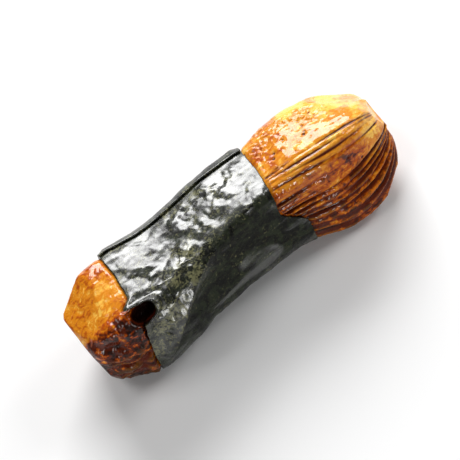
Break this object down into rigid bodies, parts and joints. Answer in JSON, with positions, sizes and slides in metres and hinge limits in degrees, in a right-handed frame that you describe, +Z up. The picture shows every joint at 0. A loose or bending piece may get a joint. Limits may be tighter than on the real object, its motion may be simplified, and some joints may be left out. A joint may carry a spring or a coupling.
{
  "type": "japanese rice cracker",
  "caption": "Soy-glazed puffed rice cracker, a ridged stick with domed ends, wrapped round the middle in a band of nori seaweed.",
  "frame": {"origin": "on the surface it lies on, under the middle of the whole cracker's box", "axes": "+X along the stick towards its longer bare end, +Z up, away from the surface it lies on; the nori's overlap is on the +Y side and the little arch in its edge on the -Y side"},
  "size_m": [0.04, 0.0128, 0.0119],
  "materials": {
    "glazed_rice": "gloss",
    "nori": "satin"
  },
  "bodies": {
    "root": {"rice_cracker": "glazed_rice", "nori_band": "nori"}
  },
  "joints": []
}
